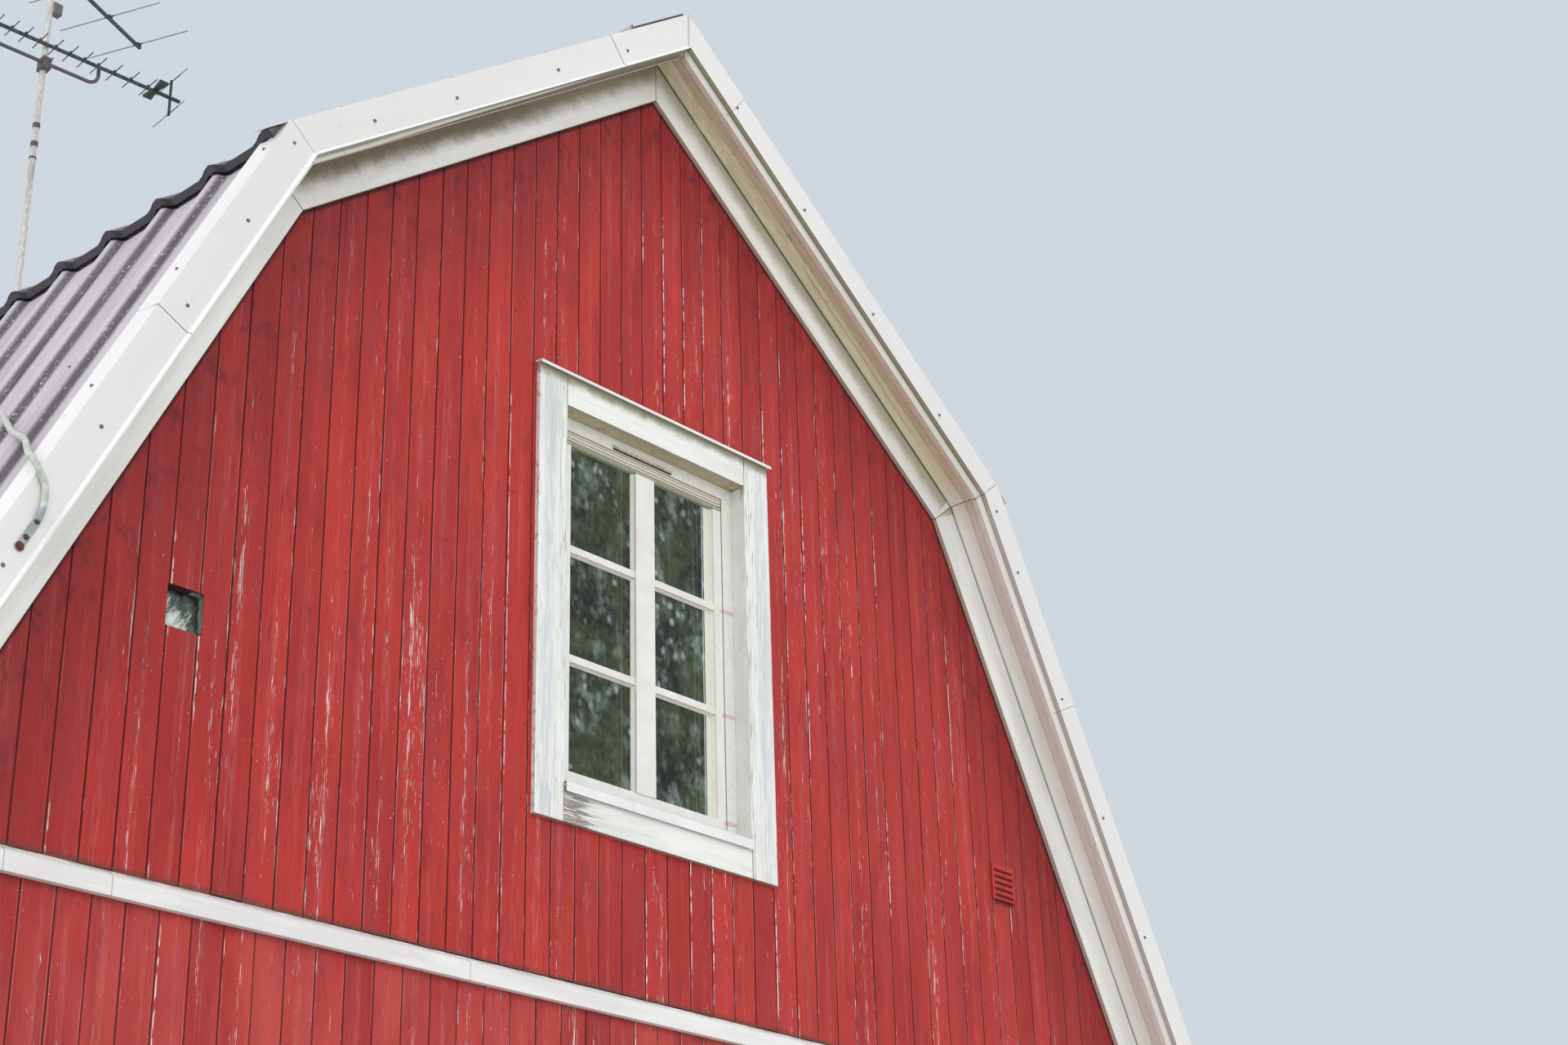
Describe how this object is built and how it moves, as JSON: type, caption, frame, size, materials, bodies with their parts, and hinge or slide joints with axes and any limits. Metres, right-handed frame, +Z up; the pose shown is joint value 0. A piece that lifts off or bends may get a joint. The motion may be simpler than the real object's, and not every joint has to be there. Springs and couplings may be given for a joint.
{
  "type": "red barn",
  "caption": "Small red board-clad timber building with a gambrel roof of waved sheets, white trims, casement windows and a television mast.",
  "frame": {"origin": "on the ground at the middle of the footprint", "axes": "+X to the right along the front gable, +Y to the back along the ridge, +Z up; the pictured gable faces -Y"},
  "size_m": [6.6236, 8.5579, 10.05],
  "materials": {
    "concrete": "cast concrete",
    "timber": "bare softwood",
    "red_boarding": "red oil paint, worn",
    "white_trim": "white paint, worn",
    "soffit_paint": "off-white paint, dirty",
    "white_sheet": "satin white coating",
    "roof_sheet": "matt grey-brown coating with pale specks",
    "window_paint": "white paint",
    "window_glass": "clear float glass",
    "red_plastic": "red, faded",
    "galvanised_steel": "dull galvanised",
    "aerial_alloy": "dark, weathered"
  },
  "bodies": {
    "root": {"plinth": "concrete", "ground_floor": "timber", "attic_floor": "timber", "front_wall": "red_boarding", "front_gable": "red_boarding", "back_wall": "red_boarding", "back_gable": "red_boarding", "left_wall": "red_boarding", "right_wall": "red_boarding", "corner_boards": "white_trim", "belt_boards": "white_trim", "front_frieze": "white_trim", "back_frieze": "white_trim", "front_soffit": "soffit_paint", "back_soffit": "soffit_paint", "front_barge_boards": "white_trim", "back_barge_boards": "white_trim", "front_verge_flashing": "white_sheet", "back_verge_flashing": "white_sheet", "roof_left": "timber", "roof_right": "timber", "roof_sheets_left": "roof_sheet", "roof_sheets_right": "roof_sheet", "ridge_cap": "roof_sheet", "eave_boards": "white_trim", "front_window_casings": "white_trim", "front_window_frames": "window_paint", "front_window_glass": "window_glass", "back_window_casings": "white_trim", "back_window_frames": "window_paint", "back_window_glass": "window_glass", "left_window_casings": "white_trim", "left_window_frames": "window_paint", "left_window_glass": "window_glass", "right_window_casings": "white_trim", "right_window_frames": "window_paint", "right_window_glass": "window_glass", "window_flashings": "white_sheet", "door_leaf": "red_boarding", "door_frame": "white_trim", "door_step": "concrete", "wall_vents": "red_plastic", "grab_rail": "galvanised_steel", "antenna_mast": "galvanised_steel", "uhf_antenna": "aerial_alloy", "vhf_antenna": "aerial_alloy"}
  },
  "joints": []
}
